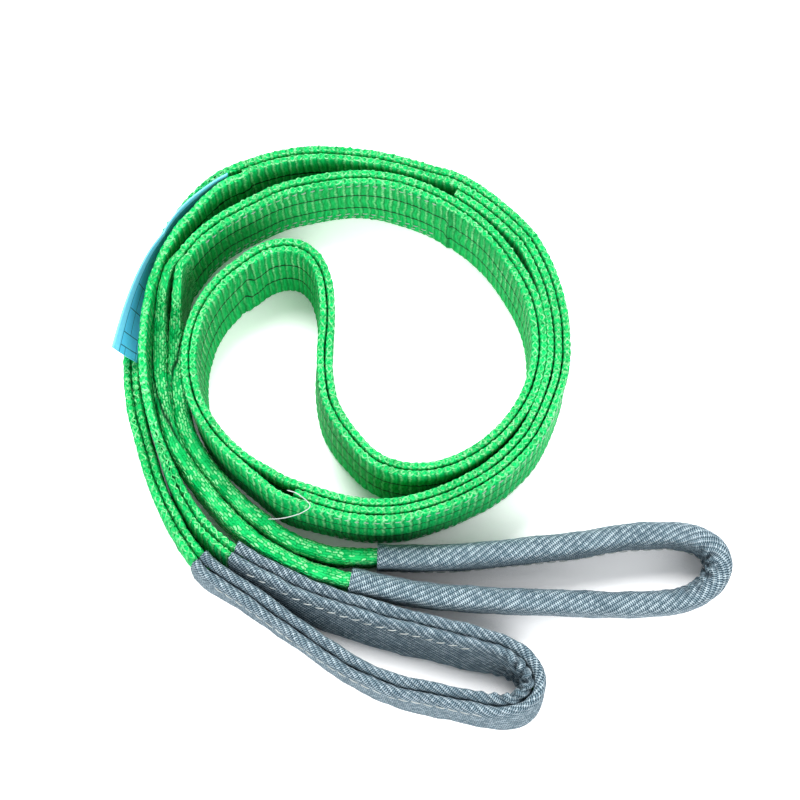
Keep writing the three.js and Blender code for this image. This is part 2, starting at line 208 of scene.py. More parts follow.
# ---------------------------------------- meshes
def make_mesh(name, verts, faces, cloth):
    """A smooth mesh of quads from points in mm; cloth = (along, around, shade) per vertex."""
    mesh = bpy.data.meshes.new(name)
    mesh.vertices.add(len(verts))
    mesh.vertices.foreach_set("co", (verts * MM).astype(np.float32).ravel())
    mesh.loops.add(faces.size)
    mesh.loops.foreach_set("vertex_index", faces.astype(np.int32).ravel())
    mesh.polygons.add(len(faces))
    mesh.polygons.foreach_set("loop_start", np.arange(0, faces.size, faces.shape[1], dtype=np.int32))
    mesh.update(calc_edges=True)
    data = mesh.attributes.new("cloth", "FLOAT_VECTOR", "POINT")
    data.data.foreach_set("vector", cloth.astype(np.float32).ravel())
    mesh.polygons.foreach_set("use_smooth", np.ones(len(mesh.polygons), bool))
    mesh.validate()
    obj = bpy.data.objects.new(name, mesh)
    bpy.context.scene.collection.objects.link(obj)
    return obj


def grid_faces(n, m, ring=False):
    """Quads of an n x m grid that closes around m, and around n too for a ring."""
    i = np.arange(n if ring else n - 1)[:, None]
    j = np.arange(m)[None, :]
    a, b = i * m + j, i * m + (j + 1) % m
    c, d = ((i + 1) % n) * m + (j + 1) % m, ((i + 1) % n) * m + j
    return np.stack([a, b, c, d], -1).reshape(-1, 4)


def lofted(name, points, cloth, ring=False):
    """points (n, m, 3): a closed body through loops, with fanned caps unless it is a ring."""
    n, m = points.shape[:2]
    verts = points.reshape(-1, 3)
    cloth = cloth.reshape(-1, 3)
    faces = grid_faces(n, m, ring)
    if not ring:
        ends = []
        for row, turn in ((0, 1), (n - 1, -1)):
            half = m // 2
            for k in range(half - 1):
                quad = [row * m + k, row * m + k + 1, row * m + m - 2 - k, row * m + m - 1 - k]
                if len(set(quad)) == 4:
                    ends.append(quad[::-turn])
        faces = np.vstack([faces, np.array(ends)])
    a, b, c = verts[faces[:, 0]], verts[faces[:, 1]], verts[faces[:, 2]]
    if np.sum(np.einsum("ij,ij->i", a, np.cross(b, c))) < 0:
        faces = faces[:, ::-1]
    return make_mesh(name, verts, faces, cloth)


def spline_matrix(k, q):
    """Weights that turn k control points of a closed loop into k*q points of a Catmull-Rom curve."""
    m = np.zeros((k * q, k))
    for i in range(k):
        for j in range(q):
            t = j / q
            w = [-t / 2 + t * t - t**3 / 2, 1 - 2.5 * t * t + 1.5 * t**3, t / 2 + 2 * t * t - 1.5 * t**3,
                 -t * t / 2 + t**3 / 2]
            for d in range(4):
                m[i * q + j, (i + d - 1) % k] += w[d]
    return m


def whole_loop(half, top, height, closed_up):
    """A closed loop from the control points of its left side, upside down if closed_up."""
    pts = np.array([(0.0, 0.0)] + half + [(0.0, top)] + [(-x, z) for x, z in reversed(half)])
    if closed_up:
        pts[:, 1] = height - pts[:, 1]
    return pts


def fold_outline(width, height, gap, depth, closed_up=False):
    """Control points of webbing folded in half along its length: a U with its open side up, or down."""
    a, h, g, d = width / 2, height, gap / 2, depth
    half = [
        (-0.5 * a, 0.0), (-0.82 * a, 0.06 * h), (-a, 0.18 * h), (-a, 0.36 * h), (-a, 0.54 * h),
        (-a, 0.72 * h), (-0.99 * a, 0.86 * h), (-0.86 * a, 0.965 * h), (-0.58 * a - 0.42 * g, h),
        (-0.2 * a - 0.8 * g, 0.965 * h), (-g, h - 0.25 * d), (-g, h - 0.6 * d), (-0.8 * g, h - 0.9 * d),
    ]
    return whole_loop(half, h - d, h, closed_up)


def ply_outline(width, height, closed_up=False):
    """The same number of control points for a single ply on edge."""
    a, h = width / 2, height
    half = [
        (-0.7 * a, 0.0), (-0.97 * a, 0.02 * h), (-a, 0.12 * h), (-a, 0.3 * h), (-a, 0.5 * h), (-a, 0.7 * h),
        (-a, 0.88 * h), (-a, 0.975 * h), (-0.85 * a, 0.99 * h), (-0.66 * a, 0.996 * h), (-0.48 * a, h),
        (-0.3 * a, h), (-0.15 * a, h),
    ]
    return whole_loop(half, h, h, closed_up)


def swept(name, route, s, controls, q, relief=None, lean=0.0, wall=None, shade=None):
    """A body along the route. controls (n, k, 2) are each station's loop, with q points to each control.
    relief(s, v, sec) raises its surface and shade(s, v, sec) darkens it. wall gives it a thin wall with an
    inner face instead of a solid inside."""
    basis = spline_matrix(controls.shape[1], q)
    sec = np.einsum("mk,nkd->nmd", basis, controls)
    edge = np.linalg.norm(np.roll(sec, -1, axis=1) - sec, axis=2)
    v = np.cumsum(edge, axis=1) - edge
    total = edge.sum(axis=1, keepdims=True)
    v = np.where(v > total / 2, v - total, v)
    tangent = np.roll(sec, -1, axis=1) - np.roll(sec, 1, axis=1)
    tangent /= np.maximum(np.linalg.norm(tangent, axis=2, keepdims=True), 1e-6)
    normal = np.stack([tangent[..., 1], -tangent[..., 0]], -1)
    area = np.sum(sec[..., 0] * np.roll(sec[..., 1], -1, 1) - np.roll(sec[..., 0], -1, 1) * sec[..., 1])
    if area < 0:
        normal = -normal
    ss = np.broadcast_to(s[:, None], v.shape)
    height = np.zeros_like(v) if relief is None else relief(ss, v, sec)
    outer = sec + normal * height[..., None]
    outer[..., 1] = np.maximum(outer[..., 1], 0.02)
    lean = np.broadcast_to(np.asarray(lean, float), s.shape)[:, None]
    points = route.point(ss, outer[..., 0], outer[..., 1], lean)
    dark = np.zeros_like(v) if shade is None else shade(ss, v, sec)
    cloth = np.stack([ss, v, dark], -1)
    if wall is None:
        return lofted(name, points, cloth)
    inner = sec - normal * wall
    inner[..., 1] = np.maximum(inner[..., 1], wall * 0.6)
    rows = np.unique(np.concatenate([np.arange(0, len(s), 8), [len(s) - 1]]))[::-1]
    back = route.point(ss[rows], inner[rows][..., 0], inner[rows][..., 1], lean[rows])
    points = np.concatenate([points, back])
    cloth = np.concatenate([cloth, cloth[rows]])
    return lofted(name, points, cloth, ring=True)


def tubes(name, paths, radius):
    """Round threads along paths (lists of (n, 3) arrays in mm), as one piece of closed bodies."""
    sides = 6
    verts, faces, cloth, base = [], [], [], 0
    turn = np.linspace(0, 2 * np.pi, sides, endpoint=False)
    for p in paths:
        t = np.gradient(p, axis=0)
        t /= np.linalg.norm(t, axis=1, keepdims=True)
        side = np.cross(t, [0.0, 0.0, 1.0])
        side /= np.maximum(np.linalg.norm(side, axis=1, keepdims=True), 1e-6)
        up = np.cross(side, t)
        r = np.full(len(p), radius)
        r[0] *= 0.5
        r[-1] *= 0.5
        ring = side[:, None] * np.cos(turn)[None, :, None] + up[:, None] * np.sin(turn)[None, :, None]
        pts = p[:, None] + ring * r[:, None, None]
        n = len(p)
        length = np.concatenate([[0], np.cumsum(np.linalg.norm(np.diff(p, axis=0), axis=1))])
        verts.append(pts.reshape(-1, 3))
        cloth.append(np.stack([np.broadcast_to(length[:, None], (n, sides)),
                               np.broadcast_to(turn * radius, (n, sides)),
                               np.zeros((n, sides))], -1).reshape(-1, 3))
        faces.append(grid_faces(n, sides)[:, ::-1] + base)
        for row in (0, n - 1):
            o = base + row * sides
            cap = [[o, o + 1, o + 2, o + 3], [o, o + 3, o + 4, o + 5]]
            faces.append(np.array(cap if row == 0 else [c[::-1] for c in cap]))
        base += n * sides
    return make_mesh(name, np.vstack(verts), np.vstack(faces), np.vstack(cloth))


# ---------------------------------------- materials
class Nodes:
    """A material's node tree, with short names for the nodes that the cloths are made of."""

    def __init__(self, name):
        self.material = bpy.data.materials.new(name)
        self.material.use_nodes = True
        self.tree = self.material.node_tree
        self.shader = self.tree.nodes["Principled BSDF"]

    def new(self, kind, **values):
        node = self.tree.nodes.new(kind)
        for key, value in values.items():
            setattr(node, key, value)
        return node

    def link(self, source, target):
        if isinstance(source, bpy.types.NodeSocket):
            self.tree.links.new(source, target)
        else:
            target.default_value = source

    def fill(self, node, *values):
        for socket, value in zip(node.inputs, values):
            self.link(value, socket)
        return node.outputs[0]

    def calc(self, operation, *values):
        return self.fill(self.new("ShaderNodeMath", operation=operation), *values)

    times = partialmethod(calc, "MULTIPLY")
    plus = partialmethod(calc, "ADD")
    minus = partialmethod(calc, "SUBTRACT")
    absolute = partialmethod(calc, "ABSOLUTE")
    sine = partialmethod(calc, "SINE")
    floor = partialmethod(calc, "FLOOR")

    def hump(self, value):
        """0 at each whole number and 1 halfway between them."""
        return self.absolute(self.sine(self.times(value, math.pi)))

    def rib(self, along):
        """1 on each rib of the webbing."""
        return self.absolute(self.calc("COSINE", self.times(along, math.pi / RIB)))

    def span(self, value, low, high, out_low=0.0, out_high=1.0):
        node = self.new("ShaderNodeMapRange", interpolation_type="SMOOTHSTEP")
        return self.fill(node, value, low, high, out_low, out_high)

    def mix(self, factor, a, b):
        node = self.new("ShaderNodeMix", data_type="RGBA", blend_type="MIX")
        self.link(factor, node.inputs[0])
        self.link(a if isinstance(a, bpy.types.NodeSocket) else (*a, 1), node.inputs[6])
        self.link(b if isinstance(b, bpy.types.NodeSocket) else (*b, 1), node.inputs[7])
        return node.outputs[2]

    def cloth(self):
        """The mesh's cloth attribute: mm along the cloth, mm around it, and shade."""
        node = self.new("ShaderNodeAttribute", attribute_name="cloth")
        xyz = self.new("ShaderNodeSeparateXYZ")
        self.link(node.outputs["Vector"], xyz.inputs[0])
        return xyz.outputs[:3]

    def vector(self, x, y, z=0.0):
        return self.fill(self.new("ShaderNodeCombineXYZ"), x, y, z)

    def noise(self, vector, scale=1.0, detail=3.0):
        node = self.new("ShaderNodeTexNoise")
        self.link(vector, node.inputs["Vector"])
        node.inputs["Scale"].default_value = scale
        node.inputs["Detail"].default_value = detail
        return node.outputs["Fac"]

    def patches(self, s, v, along, around, detail=3.0, layer=0.0):
        """Noise on the cloth, with this many patches to the mm along and around it."""
        return self.noise(self.vector(self.times(s, along), self.times(v, around), layer), detail=detail)

    def strayed(self, value, noise, most):
        """The value moved by up to about half of most, either way."""
        return self.plus(value, self.times(self.minus(noise, 0.5), most))

    def random(self, x, y, layer=0.0):
        node = self.new("ShaderNodeTexWhiteNoise", noise_dimensions="3D")
        self.link(self.vector(x, y, layer), node.inputs["Vector"])
        return node.outputs["Value"]

    def finish(self, colour, roughness, height=None, distance=0.1, strength=0.6, specular=0.3):
        """The finished material; height is a bump whose depth is distance mm."""
        s = self.shader
        self.link(colour, s.inputs["Base Color"])
        self.link(roughness, s.inputs["Roughness"])
        s.inputs["Specular IOR Level"].default_value = specular
        if height is not None:
            bump = self.new("ShaderNodeBump")
            bump.inputs["Strength"].default_value = strength
            bump.inputs["Distance"].default_value = distance * MM
            self.link(height, bump.inputs["Height"])
            self.link(bump.outputs[0], s.inputs["Normal"])
        return self.material


GREEN = (0.0, 0.34, 0.072)
# The darkest green is painted shade, put beside the ribs and between the teeth and floats.
GREEN_PAINTED_SHADE = (0.0, 0.07, 0.013)
GREEN_LIGHT = (0.012, 0.52, 0.13)
GREEN_PALE = (0.30, 0.74, 0.35)
BLACK = (0.003, 0.006, 0.005)
TOOTH = 1.15  # width of a tooth along a rib
FLOAT_LENGTH, FLOAT_WIDTH = 3.3, 1.35  # of the pale floats on folded webbing
BAR = 1.05  # spacing of the ladder bars between the sleeves' cords
SLEEVE_BASE, SLEEVE_WORN = (0.045, 0.086, 0.115), (0.072, 0.125, 0.158)
# The bar and crest colours are painted highlights; the gap, groove and deep colours are painted shade.
SLEEVE_BAR_HIGHLIGHT, SLEEVE_CREST_HIGHLIGHT = (0.31, 0.40, 0.45), (0.5, 0.57, 0.61)
SLEEVE_GAP_SHADE, SLEEVE_GROOVE_SHADE, SLEEVE_FOLD_SHADE = (0.004, 0.011, 0.02), (0.008, 0.018, 0.03), (0.006, 0.01, 0.016)
LABEL_MARGIN, LABEL_BLUE, LABEL_WORN = (0.22, 0.7, 1.0), (0.11, 0.55, 0.95), (0.06, 0.42, 0.85)
INK = (0.01, 0.015, 0.03)


def web_material():
    """Ribbed polyester webbing: smooth bands between pale serrated ribs, and two dark lines along it; the
    ribs carry painted highlight and painted shade.
    """
    n = Nodes("web_face")
    s, v, dark = n.cloth()
    bend = n.patches(s, v, 0.045, 0.09, detail=2.0)
    drift = n.patches(s, v, 0.03, 0.06)
    streak = n.patches(s, v, 1.2, 0.12)
    column = n.times(v, 1 / TOOTH)
    teeth = n.sine(n.times(column, 2 * math.pi))
    saw = n.plus(n.strayed(s, bend, 3.0), n.times(teeth, 0.3))
    rib = n.rib(saw)
    painted_rib_shade = n.rib(n.minus(saw, 0.8))
    place = n.floor(n.times(saw, 1 / RIB))
    chance = n.random(place, n.floor(column))
    rib_chance = n.random(place, 0.0, 3.0)
    across = n.hump(column)

    # Lighter green streaks, partly random tone and partly painted highlight.
    colour = n.mix(n.span(streak, 0.38, 0.62, 0.0, 0.9), GREEN, GREEN_LIGHT)
    # Painted shade on one side of each rib.
    colour = n.mix(n.span(painted_rib_shade, 0.84, 1.0, 0.0, 0.5), colour, GREEN_PAINTED_SHADE)
    # Pale ridges on the ribs, partly pale yarn and partly painted highlight, in random patches that fade
    # towards the foot of the face.
    pale = n.times(n.span(rib, 0.85, 0.97), n.span(chance, 0.0, 0.8, 0.3, 1.0))
    patchy = n.times(n.span(drift, 0.32, 0.56, 0.2, 1.0), n.span(rib_chance, 0.0, 0.8, 0.35, 1.0))
    rim = n.span(v, 8.0, 46.0, 0.3, 1.0)
    colour = n.mix(n.times(n.times(pale, patchy), rim), colour, GREEN_PALE)
    # Painted shade in the gaps between the teeth of each rib.
    gap_shade = n.times(n.span(across, 0.3, 0.0), n.span(rib, 0.7, 0.95, 0.0, 0.4))
    colour = n.mix(gap_shade, colour, GREEN_PAINTED_SHADE)

    waver = n.strayed(n.strayed(v, streak, 0.9), bend, 1.6)
    near = n.calc("MINIMUM", n.absolute(n.minus(waver, WEB / 3)), n.absolute(n.minus(waver, 2 * WEB / 3)))
    line = n.times(n.span(near, 1.05, 0.6), n.span(rib, 0.85, 0.99, 1.0, 0.75))
    # The dark attribute is painted shade in the creases of the face; black also draws the two dark lines.
    colour = n.mix(dark, n.mix(line, colour, BLACK), BLACK)
    height = n.plus(n.times(n.times(across, rib), 0.3), n.times(rib, 0.7))
    rough = n.span(streak, 0.3, 0.7, 0.6, 0.5)
    return n.finish(colour, rough, height, distance=0.28, strength=0.7, specular=0.01)


def folded_material():
    """The same webbing seen along its folded edge: pale floats in uneven staggered columns, partly painted
    highlight, with painted shade between them and in creases.
    """
    n = Nodes("web_leg")
    s, v, dark = n.cloth()
    bend = n.patches(s, v, 0.12, 0.16)
    lift = n.patches(s, v, 0.15, 0.1, layer=7.0)
    drift = n.patches(s, v, 0.09, 0.09)
    brush = n.patches(s, v, 0.9, 2.4)
    column = n.times(n.strayed(v, lift, 3.0), 1 / FLOAT_WIDTH)
    stagger = n.times(n.floor(column), 0.43)
    along = n.plus(n.times(n.strayed(s, bend, 5.0), 1 / FLOAT_LENGTH), stagger)
    chance = n.random(n.floor(along), n.floor(column))
    shadow = n.random(n.floor(along), n.floor(column), 5.0)
    body = n.times(n.hump(column), n.hump(along))

    colour = n.mix(n.span(drift, 0.35, 0.65), GREEN, GREEN_LIGHT)
    # Painted shade in the gaps between the floats, deeper at random.
    gap_shade = n.times(n.span(body, 0.3, 0.0), n.span(shadow, 0.1, 1.0, 0.0, 0.8))
    colour = n.mix(gap_shade, colour, GREEN_PAINTED_SHADE)
    # The pale flecks at the floats' middles are partly pale yarn and partly painted highlight.
    fleck = n.times(n.span(body, 0.15, 0.6), n.span(chance, 0.2, 0.9))
    fleck = n.times(fleck, n.span(brush, 0.36, 0.56, 0.1, 0.95))
    # The dark attribute is painted shade in the creases of the fold.
    colour = n.mix(dark, n.mix(fleck, colour, GREEN_PALE), BLACK)
    return n.finish(colour, 0.5, body, distance=0.7, strength=0.8, specular=0.04)


def chain_material():
    """Selvedge yarn: bright green with pale worn filaments."""
    n = Nodes("web_selvedge")
    s, v = n.cloth()[:2]
    position = n.new("ShaderNodeTexCoord").outputs["Object"]
    patch = n.noise(position, 520.0, 4.0)
    broad = n.noise(position, 60.0, 2.0)
    colour = n.mix(n.span(broad, 0.35, 0.65), GREEN, GREEN_LIGHT)
    colour = n.mix(n.span(patch, 0.44, 0.68, 0.05, 0.8), colour, GREEN_PALE)
    twist = n.sine(n.plus(n.times(s, 9.0), n.times(v, 4.0)))
    return n.finish(colour, 0.45, twist, distance=0.08, strength=0.5, specular=0.12)


def sleeve_material():
    """Coarse blue-grey twill: raised cords on the bias with short bright ladder bars between them; the bars
    and the cords' edges carry painted highlight, and painted shade lies in the gaps, grooves and folds.
    """
    n = Nodes("sleeve_twill")
    s, v, dark = n.cloth()
    cord = n.plus(n.times(v, math.cos(TWILL) / CORD), n.times(s, math.sin(TWILL) / CORD))
    along = n.minus(n.times(s, math.cos(TWILL)), n.times(v, math.sin(TWILL)))
    phase = n.hump(cord)
    stagger = n.times(n.floor(cord), 1.1)
    bars = n.absolute(n.sine(n.plus(n.times(along, math.pi / BAR), stagger)))
    chance = n.random(n.floor(n.times(along, 1 / BAR)), n.floor(cord))
    patch = n.patches(s, v, 0.08, 0.12)

    colour = n.mix(n.span(patch, 0.35, 0.65), SLEEVE_BASE, SLEEVE_WORN)
    # Painted highlight on the ladder bars.
    lit = n.times(n.span(bars, 0.45, 0.95), n.span(chance, 0.1, 1.0, 0.35, 1.0))
    colour = n.mix(n.times(lit, 0.95), colour, SLEEVE_BAR_HIGHLIGHT)
    # Painted shade in the gaps between the bars and in the grooves between the cords.
    colour = n.mix(n.span(bars, 0.6, 0.1, 0.0, 0.95), colour, SLEEVE_GAP_SHADE)
    colour = n.mix(n.span(phase, 0.36, 0.0, 0.0, 0.85), colour, SLEEVE_GROOVE_SHADE)
    # A painted highlight along one edge of each cord.
    crest = n.span(n.absolute(n.minus(n.calc("FRACT", cord), 0.6)), 0.09, 0.02)
    colour = n.mix(n.times(crest, n.span(chance, 0.0, 1.0, 0.2, 0.8)), colour, SLEEVE_CREST_HIGHLIGHT)
    # The dark attribute is painted shade in the folds of the tip.
    colour = n.mix(dark, colour, SLEEVE_FOLD_SHADE)
    height = n.plus(n.times(bars, 0.6), n.times(phase, 0.4))
    return n.finish(colour, 0.7, height, distance=0.4, strength=0.9, specular=0.05)


def thread_material():
    """Pale grey twisted sewing thread."""
    n = Nodes("sewing_thread")
    s, v = n.cloth()[:2]
    twist = n.sine(n.plus(n.times(s, 11.0), n.times(v, 5.0)))
    colour = n.mix(n.span(twist, -1.0, 1.0), (0.34, 0.38, 0.38), (0.56, 0.6, 0.58))
    return n.finish(colour, 0.6, twist, distance=0.06, strength=0.5, specular=0.3)


def label_material():
    """Sky-blue coated cloth with a plain margin and generic ruled boxes."""
    n = Nodes("label_cloth")
    s, v = n.cloth()[:2]

    def rule(coordinate, at, half):
        return n.span(n.absolute(n.minus(coordinate, at)), half * 1.5, half * 0.6)

    def inside(coordinate, low, high):
        return n.times(n.calc("GREATER_THAN", coordinate, low), n.calc("LESS_THAN", coordinate, high))

    margin = 18.2
    colour = n.mix(n.span(v, 18.6, 19.4), LABEL_BLUE, LABEL_MARGIN)
    weave = n.patches(s, v, 0.5, 0.5)
    colour = n.mix(n.span(weave, 0.3, 0.7, 0.0, 0.25), colour, LABEL_WORN)
    ink = n.times(rule(v, margin, 0.22), n.calc("GREATER_THAN", s, 20.0))
    for at in (70.0, 82.5, 94.5, 101.0, 111.0):
        ink = n.calc("MAXIMUM", ink, n.times(rule(s, at, 0.22), inside(v, 2.0, margin)))
    for at, low, high in ((10.5, 70.0, 94.5), (13.0, 101.0, 111.0), (3.0, 94.5, 111.0)):
        ink = n.calc("MAXIMUM", ink, n.times(rule(v, at, 0.2), inside(s, low, high)))
    colour = n.mix(n.times(ink, 0.9), colour, INK)
    fine = n.times(n.sine(n.times(s, 9.0)), n.sine(n.times(v, 9.0)))
    return n.finish(colour, 0.42, fine, distance=0.03, strength=0.4, specular=0.4)


def floor_material():
    """Matt white paper that glows faintly where nothing stands over it."""
    n = Nodes("floor_paper")
    position = n.new("ShaderNodeTexCoord").outputs["Object"]
    grain = n.noise(position, 30.0, 2.0)
    open_sky = n.new("ShaderNodeAmbientOcclusion", samples=8)
    open_sky.inputs["Distance"].default_value = 0.06
    glow = n.span(open_sky.outputs["AO"], 0.2, 0.6, 0.0, 0.8)
    colour = n.mix(grain, (0.89, 0.89, 0.895), (0.91, 0.91, 0.915))
    n.shader.inputs["Emission Color"].default_value = (1, 1, 1, 1)
    n.link(glow, n.shader.inputs["Emission Strength"])
    return n.finish(colour, 0.9, specular=0.0)


web_face = web_material()
web_leg = folded_material()
web_chain = chain_material()
sleeve_cloth = sleeve_material()
thread = thread_material()
label_cloth = label_material()


def dress(obj, material):
    obj.data.materials.append(material)
    return obj


# ---------------------------------------- the plies of the body
body = Route(BODY_ROUTE)
L = body.length


def parting(u):
    """0 until the plies of the hook begin to part for the third ply, 1 where the lap starts."""
    t = (u - HOOK_START) / (LAP_START - HOOK_START)
    return np.where(u < HOOK_START, 0, smooth((t - PARTING) / (1 - PARTING)))


def closing(u):
    """0 along the lap, then up to 1 where the two outer plies lie together again."""
    lap_share = (LAP_END - LAP_START) / (1 - LAP_START)
    return smooth(((u - LAP_START) / (1 - LAP_START) - lap_share) / SPREAD)


def across_a(u):
    return SIDE + SIDE * parting(u)


def across_b(u):
    return np.where(u < LAP_START, -SIDE - SIDE * parting(u), -PITCH + SIDE * closing(u))


def across_c(u):
    return SIDE * closing(u)


def flared(across, u, z):
    """The place across at height z of a ply whose foot stands out."""
    return across + eased(FLARE, u) * (1 - z / WEB)


def ribs(s):
    return np.abs(np.sin(np.pi * s / RIB)) ** 0.6


def ply(name, across, u0, u1, seed, crease=None):
    """One ply on edge, with its ribs raised on both faces."""
    s = np.arange(u0 * L, u1 * L, 0.66)
    u = s / L
    z = np.array([0.0, 0.5, 1.6, 4, 9, 14, 19, 24, 29, 34, 39, 44, 49, 53, 56, 57.1, 57.5])
    half = HALF * np.array([0.5, 0.8] + [1] * 12 + [0.96, 0.8, 0.5])
    side = np.concatenate([np.ones(len(z)), -np.ones(len(z))])[None, :]
    Z = np.concatenate([z, z[::-1]])[None, :]
    half = np.concatenate([half, half[::-1]])[None, :]
    S = s[:, None]
    slip = 0.5 * wobble(Z + S * 0.13, 60, seed) + 0.35 * wobble(S, 37, seed + 3)
    rim = smooth((Z - 47) / 6) + smooth((9 - Z) / 6)
    ridge = np.abs(np.cos(np.pi * (S + slip) / RIB)) ** 8
    scallop = ribs(S + slip)
    face = (1 - rim) * (0.3 * ridge + 0.12 * scallop)
    relief = np.clip(half / HALF, 0, 1) * (face + rim * (0.46 + 0.1 * wobble(S, 23, seed + 5)) * scallop)
    stripe_z = np.broadcast_to(Z, relief.shape)
    shade = np.zeros_like(relief)
    if crease is not None:
        relief, stripe_z, shade = crease(S, Z, side, relief, stripe_z, shade)
    wave = 0.12 * wobble(S + Z * 0.4, 45, seed + 8)
    a = flared(across(u)[:, None], u[:, None], Z) + side * (half + relief) + wave
    along = np.broadcast_to(S, relief.shape)
    points = body.point(along, a, np.broadcast_to(Z, relief.shape))
    cloth = np.stack([along + slip, stripe_z, shade], -1)
    return dress(lofted(name, points, cloth), web_face)


def chain_paths(route, s0, s1, across, up, seed, lean=None, side=1.15, rise=0.3):
    """Two crossing yarns along a selvedge; across, up and lean are functions of arc length."""
    s = np.arange(s0, s1, 0.5)
    paths = []
    for k in (0, 1):
        phase = np.pi * (s + 0.9 * wobble(s, 31, seed)) / LOOP + k * np.pi
        swing = side * (1 + 0.3 * wobble(s, 13, seed + 2 + k)) * np.sin(phase)
        a = across(s) + swing + 0.15 * wobble(s, 9, seed)
        z = up(s) + rise * np.cos(phase * 2 + k * np.pi) + 0.12 * wobble(s, 29, seed + k)
        paths.append(route.point(s, a, z, lean(s) if lean else 0.0))
    return paths


def selvedge(name, across, u0, u1, seed):
    """The yarns along a ply's top edge and along its foot."""
    paths = []
    for edge, rise in ((57.55, 0.28), (0.55, 0.2)):
        paths += chain_paths(body, u0 * L + 0.5, u1 * L - 0.5,
                             lambda s, edge=edge: flared(across(s / L), s / L, edge),
                             lambda s, edge=edge: edge, seed, rise=rise)
    return dress(tubes(name, paths, YARN), web_chain)


def crease_c(S, Z, side, relief, stripe_z, shade):
    """Ring 2's inner face: an upright kink, with the dark lines stepping down past it."""
    d = S - 0.145 * L + 0.6 * np.sin(Z / 9)
    inner = side < 0
    after = np.where(d > 0, np.exp(-np.clip(d, 0, None) / 16), 0)
    bump = 0.7 * bell(d, 1.6) - 0.9 * after * smooth(d / 1.5) + 0.35 * bell(d - 6, 3.0)
    relief = relief + np.where(inner, bump, 0)
    stripe_z = stripe_z + np.where(inner, 4.5 * after + 0.8 * bell(d - 9, 5) - 1.2 * bell(d + 4, 3), 0)
    # Painted shade along the kink.
    shade = shade + np.where(inner, 0.45 * bell(d - 1.1, 0.8), 0)
    return relief, stripe_z, shade


def crease_d(S, Z, side, relief, stripe_z, shade):
    """The hook's inner face: a slanting kink that the dark lines climb over."""
    d = S - 0.485 * L - (29 - Z) * 0.16
    inner = side > 0
    bump = 0.5 * bell(d, 1.5) - 0.9 * bell(d - 3, 2.0) + 0.4 * bell(d + 6, 3.5)
    relief = relief + np.where(inner, bump, 0)
    stripe_z = stripe_z + np.where(inner, 2.6 * bell(d + 3, 5.0) - 2.6 * bell(d - 5, 5.0), 0)
    # Painted shade along the kink.
    shade = shade + np.where(inner, 0.35 * bell(d - 2.4, 0.9), 0)
    return relief, stripe_z, shade


ply_a = ply("ply_a", across_a, 0.0, LAP_END, 1, crease_d)
ply_b = ply("ply_b", across_b, 0.0, 1.0, 2, crease_c)
ply_c = ply("ply_c", across_c, LAP_START + 0.001, 1.0, 3)
chain_a = selvedge("ply_a_selvedge", across_a, 0.0, LAP_END, 4)
chain_b = selvedge("ply_b_selvedge", across_b, 0.0, 1.0, 6)
chain_c = selvedge("ply_c_selvedge", across_c, LAP_START + 0.001, 1.0, 8)
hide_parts("ply_a_ring_run", "ply_a_hook_run", "ply_a_lap_run")
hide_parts("ply_b_ring_run", "ply_b_hook_run", "ply_b_outer_run")
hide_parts("ply_c_outer_run")


# ---------------------------------------- the eye legs
def folding(s, fold):
    """0 where a leg is still one ply, 1 where it is folded in half."""
    return smooth((s - fold[0]) / (fold[1] - fold[0]))


def leg_lean(s, route, foot):
    """How far the foot of a leg leans: it takes up its eye's lean over its last stretch."""
    return foot * smooth((s / route.length - LEAN_FROM) / (1 - LEAN_FROM))


def leg(name, route, fold, foot, seed, crease=None):
    """From one ply at the crotch into folded webbing at the sleeve; a creased leg has its fold on top."""
    closed_up = crease is not None
    s = np.arange(0, route.length, 0.7)
    t = folding(s, fold)[:, None, None]
    one = ply_outline(PLY, LEG_EDGE, closed_up)
    folded = fold_outline(7.6, FOLD_EDGE, 0.9, 20.0 if closed_up else 15.0, closed_up)

    def relief(S, V, sec):
        slip = 0.7 * wobble(V + S * 0.2, 40, seed)
        lumps = 0.35 * wobble(S + V * 0.5, 26, seed + 4) * folding(S, fold)
        out = 0.34 * ribs(S + slip) + lumps + 0.18 * np.sin(V * 2 * np.pi / 2.7 + S * 0.4)
        return out - 1.5 * crease(S, V) if crease else out

    # Painted shade along the crease groove.
    def shade(S, V, sec):
        return np.clip(crease(S, V) * 1.2, 0, 1) * 0.9 if crease else np.zeros_like(S)

    return swept(name, route, s, one[None] * (1 - t) + folded[None] * t, 3, relief, leg_lean(s, route, foot),
                 shade=shade)


def open_face(obj, fold):
    """Measure the cloth of an open fold from its selvedges, so that its dark lines run on from the plies."""
    mesh = obj.data
    cloth = np.empty(len(mesh.vertices) * 3, np.float32)
    place = np.empty(len(mesh.vertices) * 3, np.float32)
    mesh.attributes["cloth"].data.foreach_get("vector", cloth)
    mesh.vertices.foreach_get("co", place)
    cloth = cloth.reshape(-1, 3)
    t = folding(cloth[:, 0], fold)
    top = LEG_EDGE * (1 - t) + FOLD_EDGE * t
    cloth[:, 1] = LEG_EDGE - (top - place.reshape(-1, 3)[:, 2] / MM)
    mesh.attributes["cloth"].data.foreach_set("vector", cloth.ravel())


def groove(stations, around):
    """A crease that wanders across the fold: `around` mm from its crown at the given stations."""
    def amount(S, V):
        centre = np.interp(S, stations, around)
        fade = smooth((S - stations[0]) / 6) * smooth((stations[-1] - S) / 6)
        return bell(V - centre, 1.0) * fade
    return amount


